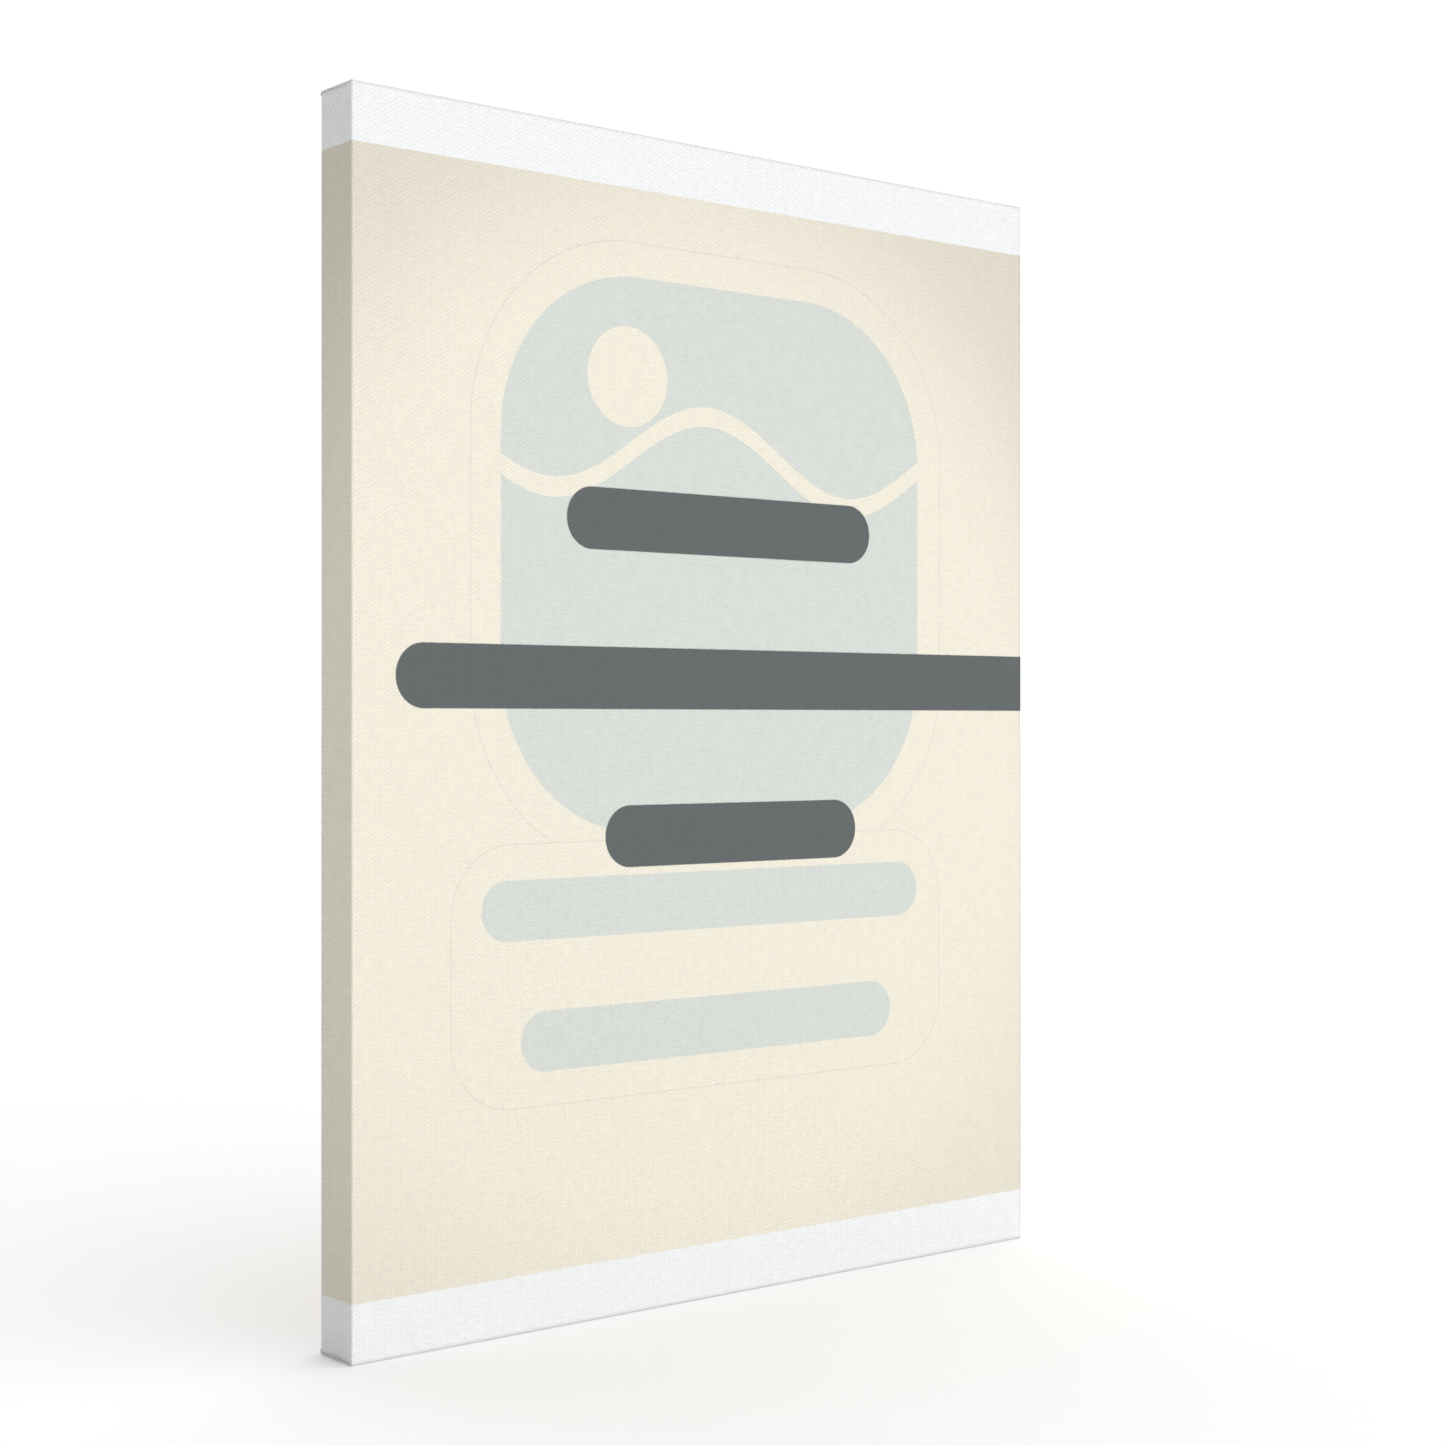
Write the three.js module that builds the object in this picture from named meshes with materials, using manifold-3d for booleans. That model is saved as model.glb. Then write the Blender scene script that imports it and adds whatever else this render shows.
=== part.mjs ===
// A stretched canvas: printed cloth over a keyed pine stretcher frame.
// Millimetres, +Z up. The picture faces -Y and the origin is under the middle of the whole part.
//
// The four stretcher bars are alike but for their length. Each has a tongue in one inner layer at its
// left end and in the other inner layer at its right end, so any end slides into any other at a corner.
// A tapered slot is left beside each tongue, and a wedge (key) lies in it along the next bar's edge.

import * as THREE from "three";
import { mergeVertices } from "three/addons/utils/BufferGeometryUtils.js";
import Module from "manifold-3d";

const wasm = await Module();
wasm.setup();

// Picture
const PICTURE_WIDTH = 300;
const PICTURE_HEIGHT = 400;
const CLOTH = 0.4;
const CLOTH_GAP = 0.1;
const FOLD_ROOM = 0.7;
const FLANGE = 22;
const CORNER_STACK = 1.8;
const CORNER_STACK_SIDE = 21;

// Stretcher bars
const BAR_DEPTH = 18;
const BAR_WIDTH = 38;
const BEAD_RADIUS = 1.6;
const BEAD_WIDTH = 4;
const BEAD_FALL = 1.6;
const SLOPE_START = 7;
const SLOPE_START_DEPTH = 1.8;
const SLOPE_END_DEPTH = 3.6;
const EDGE_CHAMFER = 0.6;
const LAYER_A_FRONT = 5.6;
const LAYER_A_BACK = 9.4;
const LAYER_B_BACK = 13.2;
const JOINT_GAP = 0.15;

// Keys: wedges with one straight edge and one slanted edge
const KEY_LENGTH = 36;
const KEY_TIP = 3;
const KEY_HEAD = 12;
const KEY_IN_SLOT = 22;
const KEY_SLACK = 0.3;
const KEY_TAPER = (KEY_HEAD - KEY_TIP) / KEY_LENGTH;

// Staples
const STAPLE_CROWN = 10.6;
const STAPLE_LEG = 6;
const STAPLE_WIRE = 0.55;
const STAPLE_WIRE_WIDTH = 1.25;
const STAPLE_BEND = 0.495;
const STAPLE_POINT = 0.9;
const STAPLE_CLEAR = 0.3;
const STAPLE_FROM_EDGE = 10;
const STAPLE_PITCH_ACROSS = 48;
const STAPLES_ACROSS = 5;
const STAPLE_PITCH_UP = 46;
const STAPLES_UP = 7;
const CORNER_STAPLE_IN = 16;
const CORNER_STAPLE_DOWN = 6.4;
const CORNER_STAPLE_TILT = 3;
const TILT_STEP = 1.8;
const TILT_STRIDE = 5;
const TILT_CYCLE = 7;

// Sawtooth hanger and its nails
const HANGER_LENGTH = 45;
const HANGER_HEIGHT = 11;
const HANGER_PLATE = 0.8;
const HANGER_RISE = 2.2;
const HANGER_TAB = 8;
const HANGER_RAMP = 2.4;
const HANGER_FROM_INNER_EDGE = 8.6;
const TOOTH_PITCH = 2.4;
const TOOTH_DEPTH = 1.6;
const TOOTH_COUNT = 9;
const TOOTH_FLAT = 0.2;
const NAIL_RADIUS = 0.65;
const NAIL_LENGTH = 11;
const NAIL_HEAD_RADIUS = 1.7;
const NAIL_HEAD_THICKNESS = 1;
const NAIL_RIM_HEIGHT = 0.35;
const NAIL_SHOULDER = 0.8;
const NAIL_CROWN = 0.4;
const NAIL_CLEAR = 0.3;

// Worked out from the sizes above
const WOOD_WIDTH = PICTURE_WIDTH - 2 * (CLOTH + CLOTH_GAP);
const WOOD_HEIGHT = PICTURE_HEIGHT - 2 * (CLOTH + FOLD_ROOM);
const EDGE_DEPTH = BAR_DEPTH + 2 * (CLOTH + CLOTH_GAP);
const HANGER_TOP = CLOTH + CLOTH_GAP + BAR_DEPTH + CLOTH_GAP + HANGER_RISE + HANGER_PLATE;
const FRONT = -HANGER_TOP / 2;
const WOOD_FRONT = FRONT + CLOTH + CLOTH_GAP;
const MIDDLE = PICTURE_HEIGHT / 2;
const QUARTER_TURN = Math.PI / 2;
const CUT_PAST = 1;
const MERGE_DISTANCE = 1e-4;
const ROUND_SIDES = 16;
const BEND_SEGMENTS = 4;
const BEAD_SEGMENTS = 5;

const CLOTH_MATERIAL = { color: 0xf4eedd, roughness: 0.85, metalness: 0 };
const PINE_MATERIAL = { color: 0xdcc094, roughness: 0.7, metalness: 0 };
const KEY_MATERIAL = { color: 0xcfa876, roughness: 0.65, metalness: 0 };
const STAPLE_MATERIAL = { color: 0xb9bcc0, roughness: 0.35, metalness: 1 };
const HANGER_MATERIAL = { color: 0xc9b57c, roughness: 0.35, metalness: 1 };
const NAIL_MATERIAL = { color: 0xa8a9ab, roughness: 0.4, metalness: 1 };

const X = new THREE.Vector3(1, 0, 0);
const Y = new THREE.Vector3(0, 1, 0);
const Z = new THREE.Vector3(0, 0, 1);

// ---- Solids ----

function solidOf(geometry) {
  const bare = geometry.index ? geometry.toNonIndexed() : geometry.clone();
  bare.deleteAttribute("normal");
  bare.deleteAttribute("uv");
  const merged = mergeVertices(bare, MERGE_DISTANCE);
  const mesh = new wasm.Mesh({
    numProp: 3,
    vertProperties: new Float32Array(merged.attributes.position.array),
    triVerts: new Uint32Array(merged.index.array),
  });
  return new wasm.Manifold(mesh);
}

function geometryOf(solid) {
  const mesh = solid.getMesh();
  const geometry = new THREE.BufferGeometry();
  geometry.setAttribute("position", new THREE.BufferAttribute(mesh.vertProperties, 3));
  geometry.setIndex(new THREE.BufferAttribute(mesh.triVerts, 1));
  geometry.computeVertexNormals();
  return geometry;
}

function boxBetween(low, high) {
  const size = high.map((value, axis) => value - low[axis]);
  const geometry = new THREE.BoxGeometry(...size);
  geometry.translate(...high.map((value, axis) => (value + low[axis]) / 2));
  return geometry;
}

function shapeOf(points) {
  return new THREE.Shape(points.map(([x, y]) => new THREE.Vector2(x, y)));
}

// An outline in the picture plane (x, z), as thick as from yFront to yBack.
function plate(points, yFront, yBack) {
  const geometry = new THREE.ExtrudeGeometry(shapeOf(points), { depth: yBack - yFront, bevelEnabled: false });
  geometry.applyMatrix4(new THREE.Matrix4().makeBasis(X, Z, Y.clone().negate()));
  geometry.translate(0, yBack, 0);
  return geometry;
}

function named(name, geometry, look) {
  const mesh = new THREE.Mesh(geometry, new THREE.MeshStandardMaterial(look));
  mesh.name = name;
  return mesh;
}

// ---- Staples ----
// The crown lies along x with its underside at y = 0, and the legs run towards -y.

function stapleGeometry() {
  const half = STAPLE_CROWN / 2;
  const inner = half - STAPLE_WIRE;
  const tip = STAPLE_WIRE - STAPLE_LEG;
  const shape = new THREE.Shape();
  shape.moveTo(-half, tip + STAPLE_POINT);
  shape.lineTo(-inner, tip);
  shape.lineTo(-inner, 0);
  shape.lineTo(inner, 0);
  shape.lineTo(inner, tip);
  shape.lineTo(half, tip + STAPLE_POINT);
  shape.lineTo(half, STAPLE_WIRE - STAPLE_BEND);
  shape.absarc(half - STAPLE_BEND, STAPLE_WIRE - STAPLE_BEND, STAPLE_BEND, 0, QUARTER_TURN);
  shape.absarc(STAPLE_BEND - half, STAPLE_WIRE - STAPLE_BEND, STAPLE_BEND, QUARTER_TURN, 2 * QUARTER_TURN);
  const options = { depth: STAPLE_WIRE_WIDTH, bevelEnabled: false, curveSegments: BEND_SEGMENTS };
  const geometry = new THREE.ExtrudeGeometry(shape, options);
  geometry.translate(0, 0, -STAPLE_WIRE_WIDTH / 2);
  return geometry;
}

// The two leg holes of a staple placed by the given matrix.
function stapleHoles(matrix) {
  const halfWide = STAPLE_WIRE / 2 + STAPLE_CLEAR;
  const halfTall = STAPLE_WIRE_WIDTH / 2 + STAPLE_CLEAR;
  const deep = STAPLE_WIRE - STAPLE_LEG - STAPLE_CLEAR;
  const holes = [-1, 1].map((side) => {
    const centre = side * (STAPLE_CROWN - STAPLE_WIRE) / 2;
    const low = [centre - halfWide, deep, -halfTall];
    const high = [centre + halfWide, CUT_PAST, halfTall];
    const geometry = boxBetween(low, high);
    geometry.applyMatrix4(matrix);
    return solidOf(geometry);
  });
  return holes[0].add(holes[1]);
}

// No staple is quite straight: each is turned by a few whole steps of a small angle, in degrees.
function stapleTilt(index) {
  const steps = ((index * TILT_STRIDE) % TILT_CYCLE) - (TILT_CYCLE - 1) / 2;
  return THREE.MathUtils.degToRad(steps * TILT_STEP);
}

function barStaples(name, length, count, pitch, hasCorners) {
  const crownY = BAR_DEPTH + CLOTH_GAP + CLOTH + CLOTH_GAP;
  const staples = [];
  for (let i = 0; i < count; i += 1) {
    const staple = named(`staple_${name}_${i + 1}`, stapleGeometry(), STAPLE_MATERIAL);
    staple.position.set((i - (count - 1) / 2) * pitch, crownY, -STAPLE_FROM_EDGE);
    staple.rotation.y = stapleTilt(i + length);
    staples.push(staple);
  }
  if (hasCorners) {
    for (const side of [-1, 1]) {
      const staple = named(`staple_${name}_corner_${side < 0 ? 1 : 2}`, stapleGeometry(), STAPLE_MATERIAL);
      const cornerY = BAR_DEPTH + CLOTH_GAP + CORNER_STACK + CLOTH_GAP;
      staple.position.set(side * (length / 2 - CORNER_STAPLE_IN), cornerY, -CORNER_STAPLE_DOWN);
      staple.rotation.y = side * THREE.MathUtils.degToRad(CORNER_STAPLE_TILT);
      staples.push(staple);
    }
  }
  staples.forEach((staple) => staple.updateMatrix());
  return staples;
}

// ---- Stretcher bars ----
// A bar lies along x. Its outer edge is at z = 0 and faces up, its front is at y = 0.

function barProfile() {
  const shape = new THREE.Shape();
  shape.moveTo(BAR_DEPTH - EDGE_CHAMFER, 0);
  shape.lineTo(BEAD_RADIUS, 0);
  shape.absarc(BEAD_RADIUS, -BEAD_RADIUS, BEAD_RADIUS, QUARTER_TURN, 2 * QUARTER_TURN);
  shape.lineTo(0, -BEAD_WIDTH);
  shape.quadraticCurveTo(0, -BEAD_WIDTH - BEAD_FALL, SLOPE_START_DEPTH, -SLOPE_START);
  shape.lineTo(SLOPE_END_DEPTH, EDGE_CHAMFER - BAR_WIDTH);
  shape.lineTo(SLOPE_END_DEPTH + EDGE_CHAMFER, -BAR_WIDTH);
  shape.lineTo(BAR_DEPTH - EDGE_CHAMFER, -BAR_WIDTH);
  shape.lineTo(BAR_DEPTH, EDGE_CHAMFER - BAR_WIDTH);
  shape.lineTo(BAR_DEPTH, -EDGE_CHAMFER);
  return shape;
}

function barBlank(length) {
  const options = { depth: length, bevelEnabled: false, curveSegments: BEAD_SEGMENTS };
  const geometry = new THREE.ExtrudeGeometry(barProfile(), options);
  geometry.applyMatrix4(new THREE.Matrix4().makeBasis(Y, Z, X));
  geometry.translate(-length / 2, 0, 0);
  return solidOf(geometry);
}

// What is cut away at one end. side is -1 at the left end and 1 at the right end.
function endCuts(length, side) {
  const end = length / 2;
  const mitreGap = JOINT_GAP * Math.SQRT2;
  const place = (points) => points.map(([inward, z]) => [side * (end - inward), z]);
  const mitre = place([
    [mitreGap - CUT_PAST, CUT_PAST],
    [mitreGap + BAR_WIDTH + CUT_PAST, -BAR_WIDTH - CUT_PAST],
    [mitreGap - CUT_PAST, -BAR_WIDTH - CUT_PAST],
  ]);
  const slotMouth = KEY_TIP + KEY_IN_SLOT * KEY_TAPER + JOINT_GAP + KEY_SLACK;
  const slotReach = (slotMouth - JOINT_GAP) / KEY_TAPER;
  const slot = place([
    [-CUT_PAST, CUT_PAST],
    [BAR_WIDTH + JOINT_GAP, CUT_PAST],
    [BAR_WIDTH + JOINT_GAP, slotReach - BAR_WIDTH],
    [BAR_WIDTH + slotMouth, -BAR_WIDTH],
    [BAR_WIDTH + slotMouth, -BAR_WIDTH - CUT_PAST],
    [-CUT_PAST, -BAR_WIDTH - CUT_PAST],
  ]);
  // The left end has its tongue in layer A and its slot in layer B, the right end the other way round.
  const leftEnd = side < 0;
  const frontMitreBack = leftEnd ? LAYER_A_FRONT + JOINT_GAP : LAYER_A_FRONT;
  const backMitreFront = leftEnd ? LAYER_B_BACK : LAYER_B_BACK - JOINT_GAP;
  const slotFront = leftEnd ? LAYER_A_BACK - JOINT_GAP : LAYER_A_FRONT;
  const slotBack = leftEnd ? LAYER_B_BACK : LAYER_A_BACK + JOINT_GAP;
  return [
    plate(mitre, -CUT_PAST, frontMitreBack),
    plate(mitre, backMitreFront, BAR_DEPTH + CUT_PAST),
    plate(slot, slotFront, slotBack),
  ];
}

function barSolid(length, staples) {
  let solid = barBlank(length);
  for (const cut of [...endCuts(length, -1), ...endCuts(length, 1)]) {
    solid = solid.subtract(solidOf(cut));
  }
  for (const staple of staples) {
    solid = solid.subtract(stapleHoles(staple.matrix));
  }
  return solid;
}

// ---- Sawtooth hanger ----
// A pressed strip in the bar's own frame: flat end tabs, a raised middle, and teeth along its lower edge.

const HANGER_Z = HANGER_FROM_INNER_EDGE - BAR_WIDTH;
const HANGER_BASE = BAR_DEPTH + CLOTH_GAP;
const NAIL_X = (HANGER_LENGTH - HANGER_TAB) / 2;

function hangerGeometry() {
  const half = HANGER_LENGTH / 2;
  const path = [
    [-half, 0],
    [HANGER_TAB - half, 0],
    [HANGER_TAB + HANGER_RAMP - half, HANGER_RISE],
    [half - HANGER_TAB - HANGER_RAMP, HANGER_RISE],
    [half - HANGER_TAB, 0],
    [half, 0],
  ];
  const upper = path.map(([x, rise]) => [x, rise + HANGER_PLATE]).reverse();
  const options = { depth: HANGER_HEIGHT, bevelEnabled: false };
  const strip = new THREE.ExtrudeGeometry(shapeOf([...path, ...upper]), options);
  strip.translate(0, HANGER_BASE, HANGER_Z - HANGER_HEIGHT / 2);
  let solid = solidOf(strip);
  const lowEdge = HANGER_Z - HANGER_HEIGHT / 2;
  for (let i = 0; i < TOOTH_COUNT; i += 1) {
    const centre = (i - (TOOTH_COUNT - 1) / 2) * TOOTH_PITCH;
    const notch = [
      [centre - TOOTH_PITCH / 2, lowEdge - CUT_PAST],
      [centre + TOOTH_PITCH / 2, lowEdge - CUT_PAST],
      [centre + TOOTH_PITCH / 2 - TOOTH_FLAT, lowEdge],
      [centre, lowEdge + TOOTH_DEPTH],
      [centre - TOOTH_PITCH / 2 + TOOTH_FLAT, lowEdge],
    ];
    solid = solid.subtract(solidOf(plate(notch, BAR_DEPTH, HANGER_BASE + HANGER_RISE + 2 * HANGER_PLATE)));
  }
  for (const side of [-1, 1]) {
    solid = solid.subtract(nailHole(side));
  }
  return geometryOf(solid);
}

function nailHole(side) {
  const radius = NAIL_RADIUS + NAIL_CLEAR;
  const length = NAIL_LENGTH + 2 * CUT_PAST;
  const hole = new THREE.CylinderGeometry(radius, radius, length, ROUND_SIDES);
  hole.translate(side * NAIL_X, HANGER_BASE + HANGER_PLATE + CUT_PAST - length / 2 + CUT_PAST, HANGER_Z);
  return solidOf(hole);
}

// A nail stands along y with the underside of its domed head at y = 0.
function nailGeometry() {
  const point = NAIL_RADIUS * 2;
  const profile = [
    [0, -NAIL_LENGTH],
    [NAIL_RADIUS, point - NAIL_LENGTH],
    [NAIL_RADIUS, 0],
    [NAIL_HEAD_RADIUS, 0],
    [NAIL_HEAD_RADIUS, NAIL_RIM_HEIGHT],
    [NAIL_HEAD_RADIUS * NAIL_SHOULDER, NAIL_HEAD_THICKNESS * NAIL_SHOULDER],
    [NAIL_HEAD_RADIUS * NAIL_CROWN, NAIL_HEAD_THICKNESS],
    [0, NAIL_HEAD_THICKNESS],
  ];
  return new THREE.LatheGeometry(profile.map(([r, y]) => new THREE.Vector2(r, y)), ROUND_SIDES);
}

function hangerPieces() {
  const pieces = [named("sawtooth_hanger", hangerGeometry(), HANGER_MATERIAL)];
  for (const side of [-1, 1]) {
    const nail = named(`hanger_nail_${side < 0 ? "left" : "right"}`, nailGeometry(), NAIL_MATERIAL);
    nail.position.set(side * NAIL_X, HANGER_BASE + HANGER_PLATE + CLOTH_GAP, HANGER_Z);
    pieces.push(nail);
  }
  return pieces;
}

// ---- Keys ----
// Seen in the corner's own frame: the inner corner of the frame is at x = 0, z = 0, with +x along the
// bar above it towards the middle of the frame, and +z into that bar.

function keyOutline() {
  return [
    [-KEY_IN_SLOT, 0],
    [KEY_LENGTH - KEY_IN_SLOT - EDGE_CHAMFER, 0],
    [KEY_LENGTH - KEY_IN_SLOT, -EDGE_CHAMFER],
    [KEY_LENGTH - KEY_IN_SLOT, EDGE_CHAMFER - KEY_HEAD],
    [KEY_LENGTH - KEY_IN_SLOT - EDGE_CHAMFER, EDGE_CHAMFER * KEY_TAPER - KEY_HEAD],
    [-KEY_IN_SLOT, -KEY_TIP],
  ];
}

// The key in layer A lies under the bar above the corner, its tip in the bar beside the corner.
function keyAlong() {
  const outline = keyOutline().map(([x, z]) => [x, z - JOINT_GAP]);
  return plate(outline, LAYER_A_FRONT + JOINT_GAP, LAYER_A_BACK - JOINT_GAP);
}

// The key in layer B lies along the bar beside the corner, its tip in the bar above.
function keyUp() {
  const outline = keyOutline().map(([x, z]) => [JOINT_GAP - z, -x]);
  return plate(outline.reverse(), LAYER_A_BACK + JOINT_GAP, LAYER_B_BACK - JOINT_GAP);
}

// ---- Frame: four turns of a bar and of the pair of keys at its left end ----

const assembly = new THREE.Group();
const stretcher = new THREE.Group();
stretcher.position.set(0, WOOD_FRONT, MIDDLE);
assembly.add(stretcher);

const SIDES = [
  { name: "top", corner: "top_left", keys: ["horizontal", "vertical"] },
  { name: "right", corner: "top_right", keys: ["vertical", "horizontal"] },
  { name: "bottom", corner: "bottom_right", keys: ["horizontal", "vertical"] },
  { name: "left", corner: "bottom_left", keys: ["vertical", "horizontal"] },
];

const allStaples = [];
SIDES.forEach((side, turn) => {
  const across = turn % 2 === 0;
  const length = across ? WOOD_WIDTH : WOOD_HEIGHT;
  const outward = (across ? WOOD_HEIGHT : WOOD_WIDTH) / 2;
  const turned = new THREE.Group();
  turned.rotation.y = turn * QUARTER_TURN;
  stretcher.add(turned);

  const barGroup = new THREE.Group();
  barGroup.position.z = outward;
  turned.add(barGroup);
  const count = across ? STAPLES_ACROSS : STAPLES_UP;
  const pitch = across ? STAPLE_PITCH_ACROSS : STAPLE_PITCH_UP;
  const staples = barStaples(side.name, length, count, pitch, across);
  let solid = barSolid(length, staples);
  if (side.name === "top") {
    solid = solid.subtract(nailHole(-1)).subtract(nailHole(1));
    barGroup.add(...hangerPieces());
  }
  barGroup.add(named(`bar_${side.name}`, geometryOf(solid), PINE_MATERIAL), ...staples);
  allStaples.push(...staples);

  const corner = new THREE.Group();
  corner.position.set(BAR_WIDTH - length / 2, 0, outward - BAR_WIDTH);
  turned.add(corner);
  corner.add(named(`key_${side.corner}_${side.keys[0]}`, keyAlong(), KEY_MATERIAL));
  corner.add(named(`key_${side.corner}_${side.keys[1]}`, keyUp(), KEY_MATERIAL));
});
assembly.updateMatrixWorld(true);

// ---- Cloth: front, four sides and the turned-over flanges, with a folded stack at each back corner ----

function clothGeometry() {
  const halfWidth = PICTURE_WIDTH / 2;
  const back = FRONT + EDGE_DEPTH;
  const outer = boxBetween([-halfWidth, FRONT, 0], [halfWidth, back, PICTURE_HEIGHT]);
  const inner = boxBetween(
    [CLOTH - halfWidth, FRONT + CLOTH, CLOTH],
    [halfWidth - CLOTH, back - CLOTH, PICTURE_HEIGHT - CLOTH],
  );
  const window = boxBetween(
    [FLANGE - halfWidth, back - CLOTH - CUT_PAST, FLANGE],
    [halfWidth - FLANGE, back + CUT_PAST, PICTURE_HEIGHT - FLANGE],
  );
  let solid = solidOf(outer);
  for (const sideX of [-1, 1]) {
    for (const end of [0, 1]) {
      const xOuter = sideX * (halfWidth - CLOTH);
      const xInner = sideX * (halfWidth - CORNER_STACK_SIDE);
      const zOuter = end === 0 ? CLOTH : PICTURE_HEIGHT - CLOTH;
      const zInner = end === 0 ? CORNER_STACK_SIDE : PICTURE_HEIGHT - CORNER_STACK_SIDE;
      const low = [Math.min(xOuter, xInner), back - CLOTH, Math.min(zOuter, zInner)];
      const high = [Math.max(xOuter, xInner), back - CLOTH + CORNER_STACK, Math.max(zOuter, zInner)];
      solid = solid.add(solidOf(boxBetween(low, high)));
    }
  }
  solid = solid.subtract(solidOf(inner)).subtract(solidOf(window));
  for (const staple of allStaples) {
    solid = solid.subtract(stapleHoles(staple.matrixWorld));
  }
  return geometryOf(solid);
}

assembly.add(named("canvas", clothGeometry(), CLOTH_MATERIAL));

export default assembly;
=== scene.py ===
"""Looks of a stretched canvas: printed cloth folded and stapled over a keyed pine stretcher."""
import math
import random
from types import SimpleNamespace

import bmesh
import bpy
from bpy.props import FloatProperty, FloatVectorProperty
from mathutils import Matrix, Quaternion, Vector


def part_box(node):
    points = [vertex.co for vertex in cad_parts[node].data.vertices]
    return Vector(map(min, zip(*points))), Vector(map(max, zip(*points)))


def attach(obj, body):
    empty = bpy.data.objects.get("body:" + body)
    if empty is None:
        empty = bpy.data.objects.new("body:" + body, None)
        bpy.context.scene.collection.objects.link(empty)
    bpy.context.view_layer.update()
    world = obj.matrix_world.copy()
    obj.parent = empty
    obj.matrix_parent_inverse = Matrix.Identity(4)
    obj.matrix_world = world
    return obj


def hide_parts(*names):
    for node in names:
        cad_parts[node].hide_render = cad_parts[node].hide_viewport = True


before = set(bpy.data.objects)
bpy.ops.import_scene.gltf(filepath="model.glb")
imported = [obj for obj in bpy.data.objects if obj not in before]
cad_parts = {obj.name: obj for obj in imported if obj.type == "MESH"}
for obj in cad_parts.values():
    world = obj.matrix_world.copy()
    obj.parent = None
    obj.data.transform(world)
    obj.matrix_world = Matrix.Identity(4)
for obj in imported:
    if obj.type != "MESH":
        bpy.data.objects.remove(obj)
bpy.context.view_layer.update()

bl_info = {
    "name": "Stretched canvas",
    "version": (1, 0, 0),
    "blender": (4, 5, 0),
    "location": "View3D > Sidebar > Canvas",
    "description": "Builds a printed canvas on a pine stretcher, with its folds, staples and wedges",
    "category": "Object",
}

MM = 0.001
BARS = ("bar_top", "bar_bottom", "bar_left", "bar_right")
KEYS = sorted(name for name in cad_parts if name.startswith("key_"))
STAPLES = sorted(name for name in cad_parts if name.startswith("staple_"))
NAILS = ("hanger_nail_left", "hanger_nail_right")
# Each bar's knot, as millimetres along the frame and across from the middle of the bar.
KNOTS = ((-88, 4), (64, -8), (286, -7), (121, 5))

CLOTH_LOW, CLOTH_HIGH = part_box("canvas")
WOOD_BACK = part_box("bar_top")[1].y
PICTURE_WIDTH = CLOTH_HIGH.x - CLOTH_LOW.x
PICTURE_HEIGHT = CLOTH_HIGH.z - CLOTH_LOW.z
PICTURE_MIDDLE = (CLOTH_HIGH.z + CLOTH_LOW.z) / 2
# The cloth's UV map is a square metre of flat cloth, and the picture's middle is at this place in it.
MAP_MIDDLE = 0.5

# The artwork's shapes: middle, size and corner radius in millimetres from the picture's middle.
OUTLINES = (((0, 57), (212, 212), 66), ((-4, -83), (219, 87), 24))
TILE = ((0, 57), (188, 188), 56)
SUN = ((-42, 117), (34, 34), 16.9)
PALE_BARS = (((-4, -61.5), (195, 20), 9.9), ((-3, -105), (166, 20), 9.9))
SLATE_BARS = (((1, 68.5), (137, 21), 10.4), ((15.5, 15), (299, 21), 10.4), ((5.5, -38.5), (114, 21), 10.4))


def linear(code):
    """An sRGB hex colour as linear red, green and blue."""
    values = [int(code[i:i + 2], 16) / 255 for i in (1, 3, 5)]
    return [v / 12.92 if v <= 0.04045 else ((v + 0.055) / 1.055) ** 2.4 for v in values]


def length_prop(name, description, millimetres):
    """A length property with its default in millimetres."""
    default = millimetres * MM
    return FloatProperty(name=name, description=description, default=default, unit="LENGTH", precision=5)


def colour_prop(name, description, code):
    """A colour property with its default as an sRGB hex value."""
    return FloatVectorProperty(name=name, description=description, default=linear(code), subtype="COLOR")


class ClothSettings(bpy.types.PropertyGroup):
    """Sizes and colours of the cloth and its print."""
    thickness: length_prop("Thickness", "Thickness of the primed cloth", 0.32)
    layer_gap: length_prop("Layer step", "Distance from one folded layer to the next", 0.37)
    edge_radius: length_prop("Edge radius", "Rounding where the cloth turns over the front bead", 0.5)
    back_radius: length_prop("Back radius", "Rounding where the cloth turns over the back edge", 0.8)
    flange: length_prop("Flange", "Cloth turned over onto the back of the bars", 22)
    spacing: length_prop("Mesh spacing", "Distance between the lines of the cloth's mesh", 4)
    corner_spacing: length_prop("Corner spacing", "Distance between mesh lines near the folds", 2)
    warp_pitch: length_prop("Warp pitch", "Distance between upright threads", 1.15)
    weft_pitch: length_prop("Weft pitch", "Distance between threads that run across", 0.72)
    print_side: length_prop("Print size", "Side of the printed square, which runs over the sides", 362)
    primer: colour_prop("Primer", "White matt primer with no ink on it", "#e6e7e8")
    cream: colour_prop("Cream ink", "Ground colour of the print", "#e4decf")
    pale: colour_prop("Pale ink", "Pale blue-grey of the background motif", "#cbd0ca")
    slate: colour_prop("Slate ink", "Dark slate of the bars", "#5b6061")
    corner_ink: colour_prop("Corner ink", "Brown-grey that darkens the artwork's corners", "#a09b8b")
    raw: colour_prop("Raw cloth", "Bare woven back of the cloth", "#ddd6c6")
    raw_shade: colour_prop("Raw cloth, stained", "Slightly yellowed parts of the bare back", "#d1c7b1")


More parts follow.
